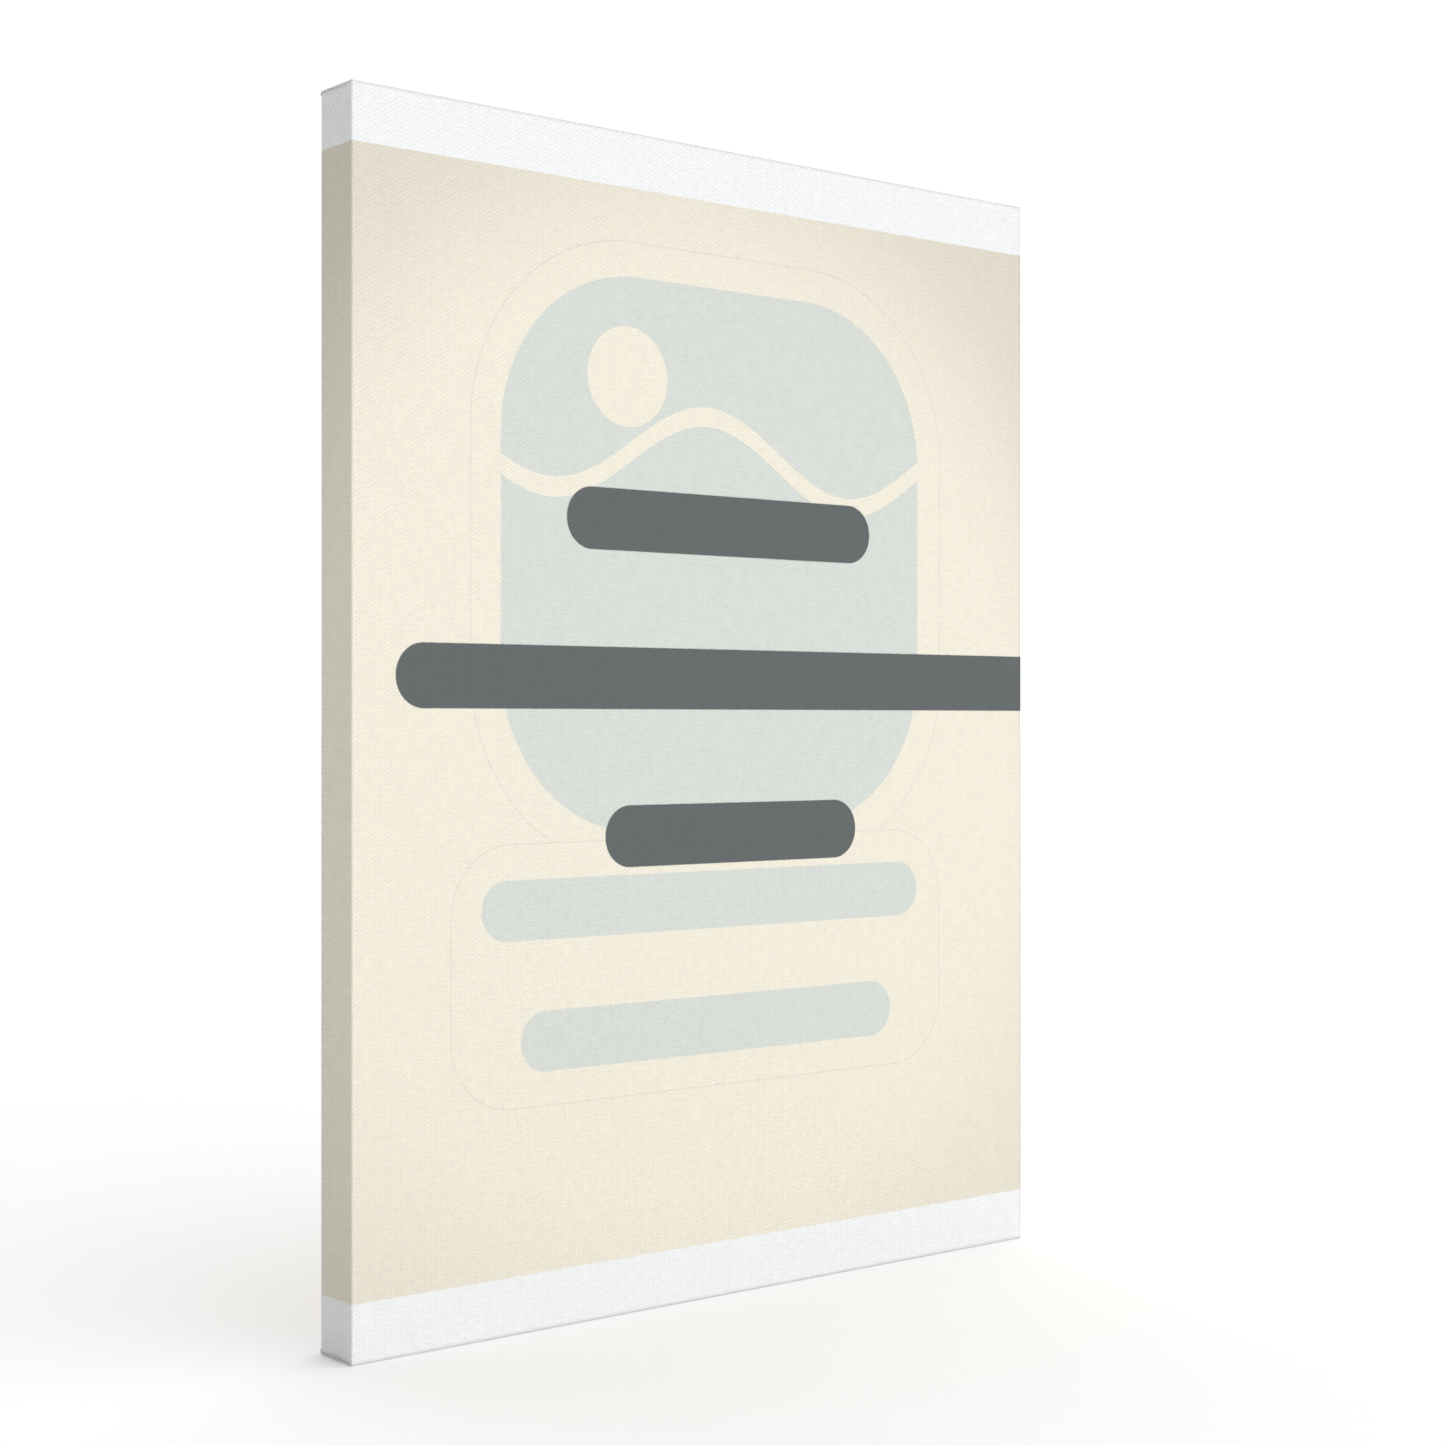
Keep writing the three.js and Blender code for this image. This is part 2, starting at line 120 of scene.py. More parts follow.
class WoodSettings(bpy.types.PropertyGroup):
    """Sizes and colours of the stretcher bars and the wedges."""
    bar_easing: length_prop("Bar edge", "Rounding of the bars' machined edges", 0.45)
    key_easing: length_prop("Wedge edge", "Rounding of the wedges' edges", 0.35)
    ring_width: length_prop("Ring width", "Distance between growth rings in the pine", 2.6)
    pine_light: colour_prop("Pine, early wood", "Pale part of each growth ring", "#e6cfa4")
    pine_warm: colour_prop("Pine, warm patches", "Slightly redder parts of the early wood", "#dabd8c")
    pine_dark: colour_prop("Pine, late wood", "Dark part of each growth ring", "#c99e66")
    resin: colour_prop("Resin", "Resin streaks and the heart of a knot", "#8f653a")
    beech_light: colour_prop("Beech ground", "Ground colour of the wedges", "#d7b083")
    beech_warm: colour_prop("Beech bands", "Broad, slightly darker bands", "#c99b6b")
    beech_dark: colour_prop("Beech fleck", "Flecks and pores of the wedges", "#a97a4c")


class MetalSettings(bpy.types.PropertyGroup):
    """Sizes and colours of the staples, hanger and nails."""
    staple_easing: length_prop("Staple edge", "Rounding of the flat wire's corners", 0.13)
    hanger_easing: length_prop("Hanger edge", "Rounding of the pressed strip's edges", 0.16)
    nail_easing: length_prop("Nail edge", "Rounding of the nails' edges", 0.12)
    zinc: colour_prop("Zinc", "Galvanised wire of the staples", "#c3c6c9")
    zinc_dull: colour_prop("Dull zinc", "Clouded patches of the wire", "#8d9195")
    brass: colour_prop("Brass plate", "Thin brass plating on the hanger", "#cfb476")
    brass_dull: colour_prop("Dull brass", "Clouded patches of the plating", "#a88a4c")
    steel: colour_prop("Bright steel", "Bare steel of the nails", "#b4b5b7")
    steel_dull: colour_prop("Dull steel", "Clouded patches of the nails", "#85878a")


class StageSettings(bpy.types.PropertyGroup):
    """Floor, light and camera."""
    floor_colour: colour_prop("Floor", "Matt white floor", "#fafafa")
    floor_mottle: colour_prop("Floor mottle", "Slightly darker patches of the floor", "#f7f7f7")
    floor_radius: FloatProperty(name="Floor radius", description="Reach of the floor from the canvas",
                                default=40, min=1, unit="LENGTH")
    sky: FloatProperty(name="Room light", description="Brightness of the white room", default=1.32, min=0)
    shade: FloatProperty(name="Shade", description="Brightness of the room's dark side", default=0.19, min=0)
    overhead: FloatProperty(name="Overhead", description="Extra brightness overhead", default=0.15)
    key_power: FloatProperty(name="Key light", description="Power of the softbox", default=1.8, unit="POWER")
    lens: FloatProperty(name="Lens", description="Focal length in millimetres", default=61.58, min=1)


# ---- Nodes and materials ----

# Settings of a node that mixes two colours, and its numbered inputs and output.
COLOURS = {"data_type": "RGBA", "out": 2}
FACTOR, BELOW, ABOVE = 0, 6, 7


def add(tree, kind, *inputs, named=None, stops=None, out=None, **settings):
    """Adds one shader node with its settings, and returns it, or its output number out. An input is a
    value, a socket, or a node whose first output is meant. stops are a ramp's (place, tone) pairs."""
    new = tree.nodes.new("ShaderNode" + kind)
    for key, value in settings.items():
        setattr(new, key, value)
    for key, value in [*enumerate(inputs), *(named or {}).items()]:
        if isinstance(value, bpy.types.Node):
            value = value.outputs[0]
        if isinstance(value, bpy.types.NodeSocket):
            tree.links.new(value, new.inputs[key])
        elif value is not None:
            new.inputs[key].default_value = value
    for place, tone in stops or []:
        element = new.color_ramp.elements.new(place)
        element.color = (tone, tone, tone, 1)
    if stops:
        new.color_ramp.elements.remove(new.color_ramp.elements[0])
        new.color_ramp.elements.remove(new.color_ramp.elements[-1])
    return new if out is None else new.outputs[out]


def blank_material(name):
    """A node material with an empty tree."""
    material = bpy.data.materials.new(name)
    material.use_nodes = True
    tree = material.node_tree
    tree.nodes.clear()
    return material, tree


def weave(tree, place, warp_pitch, weft_pitch):
    """Plain weave over a place in millimetres: the height of its threads from 0 to 1, the slant that
    the yarn's twist gives it from -1 to 1, and a tone that changes slowly along single threads."""
    # Real threads lie about half as far apart. They are drawn this coarse so that they show.
    wander = add(tree, "TexNoise", named={"Vector": place, "Scale": 0.11, "Detail": 2.0}, out="Color")
    shift = add(tree, "VectorMath", wander, (0.5, 0.5, 0.5), operation="SUBTRACT")
    bent = add(tree, "VectorMath", shift, (0.9, 0.7, 0), place, operation="MULTIPLY_ADD")
    counted = add(tree, "VectorMath", bent, (1 / warp_pitch, 1 / weft_pitch, 0), operation="MULTIPLY")
    whole = add(tree, "VectorMath", counted, operation="FLOOR")
    part = add(tree, "VectorMath", counted, operation="FRACTION")
    count = add(tree, "SeparateXYZ", counted)
    number = add(tree, "SeparateXYZ", whole)
    inside = add(tree, "SeparateXYZ", part)
    # Warp and weft pass over each other in turn, so their waves start half a turn apart.
    heights = []
    for own, other, start in ((0, 1, -0.5), (1, 0, 0.5)):
        arc = add(tree, "Math", inside.outputs[own], math.pi, operation="MULTIPLY")
        crown = add(tree, "Math", arc, operation="SINE")
        along = add(tree, "Math", count.outputs[other], number.outputs[own], operation="ADD")
        phase = add(tree, "Math", along, math.pi, start * math.pi, operation="MULTIPLY_ADD")
        over = add(tree, "Math", phase, operation="COSINE")
        lifted = add(tree, "Math", over, 0.4, 0.6, operation="MULTIPLY_ADD")
        heights.append(add(tree, "Math", crown, lifted, operation="MULTIPLY"))
    crossing = add(tree, "Math", *heights, operation="MAXIMUM")
    slant = add(tree, "Math", count.outputs[0], count.outputs[1], operation="SUBTRACT")
    turned = add(tree, "Math", slant, math.pi, operation="MULTIPLY")
    twist = add(tree, "Math", turned, operation="COSINE")
    # Slubs: a thread is a little thicker or thinner for a few millimetres, weft more than warp.
    tones = []
    for scale in ((0.26, 0.9 / weft_pitch, 0), (0.9 / warp_pitch, 0.1, 0)):
        stretched = add(tree, "VectorMath", place, scale, operation="MULTIPLY")
        tones.append(add(tree, "TexNoise", named={"Vector": stretched, "Scale": 1.0, "Detail": 2.0}))
    tone = add(tree, "Mix", 0.3, None, *tones)
    return crossing, twist, tone


def rounded_box(tree, place, centre, size, radius):
    """1 inside a rounded rectangle of the print and 0 outside, in millimetres from the picture's middle.
    Ink spreads a little in the primer, so the edge is soft."""
    soft = 0.16
    moved = add(tree, "VectorMath", place, (*centre, 0), operation="SUBTRACT")
    folded = add(tree, "VectorMath", moved, operation="ABSOLUTE")
    half = (size[0] / 2 - radius, size[1] / 2 - radius, 0)
    past = add(tree, "VectorMath", folded, half, operation="SUBTRACT")
    outside = add(tree, "VectorMath", past, (0, 0, 0), operation="MAXIMUM")
    distance = add(tree, "VectorMath", outside, operation="LENGTH", out="Value")
    return add(tree, "MapRange", distance, radius - soft, radius + soft, 1.0, 0.0)


def flat_place(tree):
    """Place on the flat cloth in millimetres from the picture's middle, as its UV map stores it."""
    layer = add(tree, "UVMap", uv_map="flat_cloth")
    middle = (-MAP_MIDDLE / MM, -MAP_MIDDLE / MM, 0)
    return add(tree, "VectorMath", layer, (1 / MM, 1 / MM, 0), middle, operation="MULTIPLY_ADD")


def painted(tree, ground, layers):
    """A ground colour with layers of other colours over it in turn, each where its mask is above 0."""
    for colour, mask in layers:
        inks = {FACTOR: mask, BELOW: ground, ABOVE: (*colour, 1)}
        ground = add(tree, "Mix", named=inks, **COLOURS)
    return ground


def printed_colour(tree, place, cloth):
    """Pigment ink on primer: a cream ground, a pale tile with a cream sun and the line of a hill, and
    plain pale and slate bars, with thin outlines round them and corners that darken."""
    edge_wander, wave_length, wave_start = 0.35, 21, 0.35
    hill_swing, hill_level, hill_width = 14.0, 92.0, 3.4
    fuzz = add(tree, "TexNoise", named={"Vector": place, "Scale": 2.4, "Detail": 2.0}, out="Color")
    edge = add(tree, "VectorMath", fuzz, (0.5, 0.5, 0.5), operation="SUBTRACT")
    ragged = (edge_wander, edge_wander, 0)
    inked = add(tree, "VectorMath", edge, ragged, place, operation="MULTIPLY_ADD")
    axes = add(tree, "SeparateXYZ", inked)
    swing = add(tree, "Math", axes.outputs[0], 1 / wave_length, wave_start, operation="MULTIPLY_ADD")
    wave = add(tree, "Math", swing, operation="COSINE")
    ridge = add(tree, "Math", wave, hill_swing, hill_level, operation="MULTIPLY_ADD")
    off_ridge = add(tree, "Math", axes.outputs[1], ridge, hill_width, operation="COMPARE")
    tile = rounded_box(tree, inked, *TILE)
    hill = add(tree, "Math", off_ridge, tile, operation="MULTIPLY")
    layers = []
    hairline, line_width = [0.9 * part for part in cloth.cream], 0.5
    for centre, size, radius in OUTLINES:
        inner = [side - 2 * line_width for side in size]
        layers.append((hairline, rounded_box(tree, inked, centre, size, radius)))
        layers.append((cloth.cream, rounded_box(tree, inked, centre, inner, radius - line_width)))
    layers += [(cloth.pale, tile), (cloth.cream, hill)]
    for ink, shapes in ((cloth.cream, (SUN,)), (cloth.pale, PALE_BARS), (cloth.slate, SLATE_BARS)):
        layers += [(ink, rounded_box(tree, inked, *shape)) for shape in shapes]
    # The artwork darkens towards its corners, more at the top and right than at the bottom and left.
    shift, light_within, dark_past = (14, 6, 0), 150.0, 236.0
    low_strength, high_strength, change = 0.16, 0.31, 60.0
    shifted = add(tree, "VectorMath", place, shift, operation="ADD")
    reach = add(tree, "VectorMath", shifted, operation="LENGTH", out="Value")
    spread = (light_within, dark_past, 0.0, 1.0)
    dark = add(tree, "MapRange", reach, *spread, interpolation_type="SMOOTHSTEP")
    strength = add(tree, "MapRange", axes.outputs[1], -change, change, low_strength, high_strength)
    layers.append((cloth.corner_ink, add(tree, "Math", dark, strength, operation="MULTIPLY")))
    artwork = painted(tree, (*cloth.cream, 1), layers)
    side = cloth.print_side / MM
    printed = rounded_box(tree, inked, (0, 0), (side, side), 0.6)
    inks = {FACTOR: printed, BELOW: (*cloth.primer, 1), ABOVE: artwork}
    return add(tree, "Mix", named=inks, **COLOURS)


def primed_canvas(cloth):
    """Plain-weave cotton canvas, primed matt white and printed with pigment ink. The primer fills the
    weave, so the threads show as a shallow grain with a slant to it and no shine."""
    material, tree = blank_material("primed_printed_canvas")
    place = flat_place(tree)
    height, twist, tone = weave(tree, place, cloth.warp_pitch / MM, cloth.weft_pitch / MM)
    colour = printed_colour(tree, place, cloth)
    hollow = add(tree, "MapRange", height, 0.15, 0.95, 0.952, 1.015)
    slub = add(tree, "MapRange", tone, 0.25, 0.75, 0.94, 1.06)
    slanted = add(tree, "Math", twist, 0.036, slub, operation="MULTIPLY_ADD")
    shade = add(tree, "Math", hollow, slanted, operation="MULTIPLY")
    # Painted shade: the primer is darkened a little along the folds at the top, the bottom and the right, as
    # a thin grey line.
    inside_fold, greyest, unshaded_past, fold_shade_tone = 0.2, 0.3, 1.2, 0.84
    folds = add(tree, "SeparateXYZ", place)
    upright = add(tree, "Math", folds.outputs[1], operation="ABSOLUTE")
    for across, fold in ((upright, PICTURE_HEIGHT / 2 / MM), (folds.outputs[0], PICTURE_WIDTH / 2 / MM)):
        off_fold = add(tree, "Math", across, fold - inside_fold, operation="SUBTRACT")
        away = add(tree, "Math", off_fold, operation="ABSOLUTE")
        grey = add(tree, "MapRange", away, greyest, unshaded_past, fold_shade_tone, 1.0)
        shade = add(tree, "Math", shade, grey, operation="MULTIPLY", out=0)
    # The print with the weave's darker hollows, slubs and slant, and the painted shade along the folds.
    toned_and_shaded = add(tree, "VectorMath", colour, shade, operation="MULTIPLY")
    ribbed = add(tree, "Math", twist, 0.3, height, operation="MULTIPLY_ADD")
    relief = add(tree, "Math", tone, 1.2, ribbed, operation="MULTIPLY_ADD")
    bump = add(tree, "Bump", named={"Strength": 0.5, "Distance": 0.12 * MM, "Height": relief})
    rough = add(tree, "MapRange", height, 0.2, 1.0, 0.9, 0.74)
    finish = {"Base Color": toned_and_shaded, "Roughness": rough, "Normal": bump, "Specular IOR Level": 0.3}
    add(tree, "OutputMaterial", add(tree, "BsdfPrincipled", named=finish))
    return material


def raw_canvas(cloth, name="raw_canvas_back"):
    """The unprimed back of the cloth: soft cotton threads with darker gaps, seed flecks and a dull nap."""
    material, tree = blank_material(name)
    place = flat_place(tree)
    height, twist, tone = weave(tree, place, cloth.warp_pitch / MM, cloth.weft_pitch / MM)
    gap = add(tree, "MapRange", height, 0.1, 0.9, 0.66, 1.04)
    slub = add(tree, "MapRange", tone, 0.3, 0.7, 0.92, 1.08)
    shade = add(tree, "Math", gap, slub, operation="MULTIPLY")
    fleck = add(tree, "TexVoronoi", named={"Vector": place, "Scale": 0.075, "Randomness": 1.0})
    seed = add(tree, "MapRange", fleck, 0.018, 0.04, 0.62, 1.0)
    shade = add(tree, "Math", shade, seed, operation="MULTIPLY", out=0)
    stain = add(tree, "TexNoise", named={"Vector": place, "Scale": 0.012, "Detail": 3.0})
    ground = painted(tree, (*cloth.raw, 1), [(cloth.raw_shade, stain)])
    coloured = add(tree, "VectorMath", ground, shade, operation="MULTIPLY")
    ribbed = add(tree, "Math", twist, 0.15, height, operation="MULTIPLY_ADD")
    bump = add(tree, "Bump", named={"Strength": 0.8, "Distance": 0.28 * MM, "Height": ribbed})
    finish = {"Base Color": coloured, "Roughness": 0.95, "Normal": bump, "Specular IOR Level": 0.15}
    nap = {"Sheen Weight": 0.25, "Sheen Roughness": 0.6}
    add(tree, "OutputMaterial", add(tree, "BsdfPrincipled", named={**finish, **nap}))
    return material


def cotton_yarn(cloth):
    """Loose cotton yarn at the cut edge: off-white and fuzzy, with its twist as fine slanted ribs."""
    material, tree = blank_material("loose_cotton_yarn")
    place = add(tree, "TexCoord", out="Object")
    fine = add(tree, "VectorMath", place, (1 / MM,) * 3, operation="MULTIPLY")
    twist = {"Vector": fine, "Scale": 1.1, "Distortion": 2.0}
    ribs = add(tree, "TexWave", named=twist, bands_direction="DIAGONAL")
    fluff = add(tree, "TexNoise", named={"Vector": fine, "Scale": 1.4, "Detail": 3.0})
    tone = add(tree, "MapRange", fluff, 0.3, 0.7, 0.86, 1.08, out=0)
    coloured = add(tree, "VectorMath", tuple(cloth.raw), tone, operation="MULTIPLY")
    relief = add(tree, "Math", ribs, 0.5, fluff, operation="MULTIPLY_ADD")
    bump = add(tree, "Bump", named={"Strength": 0.5, "Distance": 0.08 * MM, "Height": relief})
    finish = {"Base Color": coloured, "Roughness": 0.95, "Normal": bump, "Specular IOR Level": 0.15}
    add(tree, "OutputMaterial", add(tree, "BsdfPrincipled", named=finish))
    return material


def along_grain(tree, along, shift=(0, 0, 0)):
    """Place in the wood in millimetres, with the first axis along the grain. The grain of a piece that
    lies runs along x, and the grain of one that stands runs along z."""
    place = add(tree, "TexCoord", out="Object")
    turn = (0, 0, 0) if along == "x" else (0, math.radians(90), 0)
    return add(tree, "Mapping", place, shift, turn, (1 / MM,) * 3)


def planed_pine(name, wood, along, pith, lean, knot):
    """Planed pine, unfinished. Growth rings are a true solid pattern round a distant pith, so faces and
    ends of a bar agree, and they part round a knot. Late wood is darker and harder, and thin resin
    streaks run along the grain. pith is its place and knot is where along and across it, all in mm, and
    lean is how much the pith slopes along the bar."""
    material, tree = blank_material(name)
    laid = along_grain(tree, along, pith)
    grain = add(tree, "VectorMath", laid, (0.012, 1, 1), operation="MULTIPLY")
    sway = add(tree, "TexNoise", named={"Vector": grain, "Scale": 0.035, "Detail": 2.0})
    axes = add(tree, "SeparateXYZ", laid)
    leaning = add(tree, "Math", axes.outputs[0], lean, axes.outputs[2], operation="MULTIPLY_ADD")
    section = add(tree, "CombineXYZ", 0.0, axes.outputs[1], leaning)
    radius = add(tree, "VectorMath", section, operation="LENGTH", out="Value")
    wavy = add(tree, "Math", sway, 14.0, radius, operation="MULTIPLY_ADD")
    # A knot is the foot of a branch: the grain swells round it, and it has rings of its own.
    from_knot = add(tree, "VectorMath", laid, (knot[0], 0, pith[2] + knot[1]), operation="SUBTRACT")
    oval = add(tree, "VectorMath", from_knot, (0.75, 0, 1), operation="MULTIPLY")
    knot_radius = add(tree, "VectorMath", oval, operation="LENGTH", out="Value")
    swell = add(tree, "MapRange", knot_radius, 2.0, 20.0, 6.5, 0.0, interpolation_type="SMOOTHERSTEP")
    parted = add(tree, "Math", wavy, swell, operation="ADD")
    in_knot = add(tree, "MapRange", knot_radius, 3.6, 4.4, 1.0, 0.0)
    knot_rings = add(tree, "Math", knot_radius, 2.4, operation="MULTIPLY")
    grown = add(tree, "Mix", in_knot, None, parted, knot_rings)
    rings = add(tree, "Math", grown, MM / wood.ring_width, operation="MULTIPLY")
    ring = add(tree, "Math", rings, operation="FRACT")
    tones = [(0.0, 0.08), (0.45, 0.16), (0.8, 0.75), (0.93, 1.0), (1.0, 0.08)]
    late = add(tree, "ValToRGB", ring, out=0, stops=tones)
    fibre_place = add(tree, "VectorMath", laid, (0.05, 3.2, 3.2), operation="MULTIPLY")
    fine = {"Vector": fibre_place, "Scale": 1.0, "Detail": 4.0, "Roughness": 0.6}
    fibre = add(tree, "TexNoise", named=fine)
    resin_place = add(tree, "VectorMath", laid, (0.09, 1.6, 1.6), operation="MULTIPLY")
    resin = add(tree, "TexVoronoi", named={"Vector": resin_place, "Scale": 0.55})
    streak = add(tree, "MapRange", resin, 0.05, 0.11, 0.55, 0.0)
    heart = add(tree, "Math", in_knot, 0.62, operation="MULTIPLY")
    patch = add(tree, "TexNoise", named={"Vector": grain, "Scale": 0.05, "Detail": 2.0})
    tints = ((wood.pine_warm, patch), (wood.pine_dark, late), (wood.resin, streak), (wood.resin, heart))
    colour = painted(tree, (*wood.pine_light, 1), tints)
    tone = add(tree, "MapRange", fibre, 0.3, 0.7, 0.88, 1.08, out=0)
    shaded = add(tree, "VectorMath", colour, tone, operation="MULTIPLY")
    # Shallow marks of the planer's knives cross the bar every few millimetres.
    knife_pitch = 3.1
    knife = add(tree, "Math", axes.outputs[0], 2 * math.pi / knife_pitch, operation="MULTIPLY")
    mark = add(tree, "Math", knife, operation="SINE")
    ridged = add(tree, "Math", fibre, 1.0, late, operation="MULTIPLY_ADD")
    relief = add(tree, "Math", mark, 0.12, ridged, operation="MULTIPLY_ADD")
    bump = add(tree, "Bump", named={"Strength": 0.45, "Distance": 0.12 * MM, "Height": relief})
    rough = add(tree, "MapRange", late, 0.0, 1.0, 0.74, 0.58)
    finish = {"Base Color": shaded, "Roughness": rough, "Normal": bump}
    add(tree, "OutputMaterial", add(tree, "BsdfPrincipled", named=finish))
    return material


def sawn_beech(name, wood, along):
    """Sawn beech: even pinkish brown with short dark ray flecks and a fine fuzz left by the saw."""
    material, tree = blank_material(name)
    laid = along_grain(tree, along)
    pore_place = add(tree, "VectorMath", laid, (0.28, 2.2, 2.2), operation="MULTIPLY")
    pores = add(tree, "TexVoronoi", named={"Vector": pore_place, "Scale": 1.0})
    fleck = add(tree, "MapRange", pores, 0.10, 0.32, 0.75, 0.0)
    band_place = add(tree, "VectorMath", laid, (0.02, 0.5, 0.5), operation="MULTIPLY")
    band = add(tree, "TexNoise", named={"Vector": band_place, "Scale": 1.0, "Detail": 3.0})
    tints = ((wood.beech_warm, band), (wood.beech_dark, fleck))
    colour = painted(tree, (*wood.beech_light, 1), tints)
    fibre_place = add(tree, "VectorMath", laid, (0.15, 5, 5), operation="MULTIPLY")
    fibre = add(tree, "TexNoise", named={"Vector": fibre_place, "Scale": 1.0, "Detail": 3.0})
    tone = add(tree, "MapRange", fibre, 0.3, 0.7, 0.86, 1.1, out=0)
    shaded = add(tree, "VectorMath", colour, tone, operation="MULTIPLY")
    bump = add(tree, "Bump", named={"Strength": 0.6, "Distance": 0.15 * MM, "Height": fibre})
    finish = {"Base Color": shaded, "Roughness": 0.68, "Normal": bump}
    add(tree, "OutputMaterial", add(tree, "BsdfPrincipled", named=finish))
    return material


def drawn_metal(name, colour, dull, roughness, scratches):
    """Drawn or rolled metal with a thin plated skin: fine lengthwise scratches, and duller clouded
    patches where it has been handled. scratches is how many there are to the metre along each axis."""
    material, tree = blank_material(name)
    place = add(tree, "TexCoord", out="Object")
    fine = add(tree, "VectorMath", place, scratches, operation="MULTIPLY")
    scratch = add(tree, "TexNoise", named={"Vector": fine, "Scale": 1.0, "Detail": 3.0})
    cloud = add(tree, "TexNoise", named={"Vector": place, "Scale": 260.0, "Detail": 4.0})
    tone = painted(tree, (*colour, 1), [(dull, cloud)])
    rough = add(tree, "MapRange", cloud, 0.3, 0.7, roughness - 0.08, roughness + 0.14)
    bump = add(tree, "Bump", named={"Strength": 0.25, "Distance": 0.04 * MM, "Height": scratch})
    finish = {"Base Color": tone, "Roughness": rough, "Metallic": 1.0, "Normal": bump}
    add(tree, "OutputMaterial", add(tree, "BsdfPrincipled", named=finish))
    return material


# ---- Folding the cloth ----

# The length in which each change of the folded cloth comes about, before or past its crease or edge.
LAYERED = 4 * MM  # folded layers lie a full step apart
UNROUNDED = 3 * MM  # the round corner of the frame's front gives way to the straight edge
ONTO_BACK = 2 * MM  # the side cloth has turned from the side to the back
STACKED = 7 * MM  # the flange has risen onto the layers under it
TUCKED = 30 * MM  # the side cloth has sunk under the layers of the top edge
DIAGONAL = 0.8 * MM  # the two sides of the corner's diagonal have drawn level


def smooth_step(value):
    """0 below 0, 1 above 1, and a smooth rise between."""
    value = min(max(value, 0.0), 1.0)
    return value * value * (3 - 2 * value)


def blend(first, second, weight):
    """The first value at weight 0, the second at weight 1, and between them in proportion."""
    return first + (second - first) * weight


def bend(s, radius):
    """A right-angled bend met at s = 0: how far past it a point lies, and how far short of it."""
    arc = math.pi * radius / 4
    if s <= -arc:
        return 0.0, s + arc - radius
    if s >= arc:
        return s - arc + radius, 0.0
    turn = (s + arc) / radius
    return radius * (1 - math.cos(turn)), radius * (math.sin(turn) - 1)


def doubled(s, gap):
    """Cloth folded back on itself at s = 0: how far in from the fold, and a level from 1/2 to -1/2."""
    arc = math.pi * gap / 4
    if abs(s) >= arc:
        return abs(s) - arc + gap / 2, -math.copysign(0.5, s)
    turn = 2 * s / gap
    return gap / 2 * (1 - math.cos(turn)), -0.5 * math.sin(turn)


def folding(cloth):
    """The sizes that the folds need, in metres. All are to the middle of the cloth's thickness."""
    half = cloth.thickness / 2
    gap_behind = 0.1 * MM
    sizes = SimpleNamespace()
    sizes.step = cloth.layer_gap
    sizes.flange = cloth.flange
    sizes.front = CLOTH_LOW.y + half
    sizes.back = WOOD_BACK + gap_behind + half
    sizes.half_width = PICTURE_WIDTH / 2 - half
    sizes.half_height = PICTURE_HEIGHT / 2 - half
    sizes.edge = cloth.edge_radius - half
    # The side cloth turns over onto the top edge in a tighter bend than over the front.
    sizes.side_top = 0.3 * MM
    sizes.back_edge = cloth.back_radius - half
    # A rounded corner takes this share of its radius less cloth than two flats that meet.
    sizes.saved = 1 - math.pi / 4
    sizes.inset = sizes.saved * sizes.edge
    sizes.depth = sizes.back - sizes.front - sizes.saved * (sizes.edge + sizes.back_edge)
    sizes.crease_x = sizes.half_width - sizes.inset
    sizes.crease_z = sizes.half_height - sizes.inset
    sizes.cut_x = sizes.crease_x + sizes.depth + sizes.flange
    sizes.cut_z = sizes.crease_z + sizes.depth + sizes.flange
    return sizes


def layers_under(fold, inward, down):
    """How many layers lie under the top cloth's flange at a place on the back, seen from the corner.
    Each step down starts a little past the edge of the layer that makes it, so it clears that edge."""
    fall = 2.4 * MM
    clear = 1.0 * MM
    over_side = smooth_step((fold.flange + clear - inward) / fall + 1)
    beyond = smooth_step((inward + clear - down) / fall + 1)
    pleat = smooth_step((fold.depth + down + clear - inward) / fall + 1)
    return (over_side + pleat) * (1 + beyond)


def wrap_top(fold, inward, travel, top_level, back_drop):
    """Depth and height of a place on the top strip. travel runs from the front crease up and over onto
    the back, and inward is how far the place lies in from the side. top_level is 2 in the outermost
    layer of the edge and less below it, and back_drop is how many layers lie over it on the back."""
    hidden = (2 - top_level) * fold.step * smooth_step(travel / LAYERED)
    height = fold.half_height - hidden
    if travel < fold.depth / 2:
        past, short = bend(travel, fold.edge)
        return fold.front + past, height + short
    down = max(travel - fold.depth, 0.0)
    raised = max(layers_under(fold, inward, down) - back_drop, 0.0) * fold.step
    raised *= smooth_step((travel - fold.depth) / STACKED + 1)
    past, short = bend(travel - fold.depth, fold.back_edge)
    return fold.back + raised + short, height - past


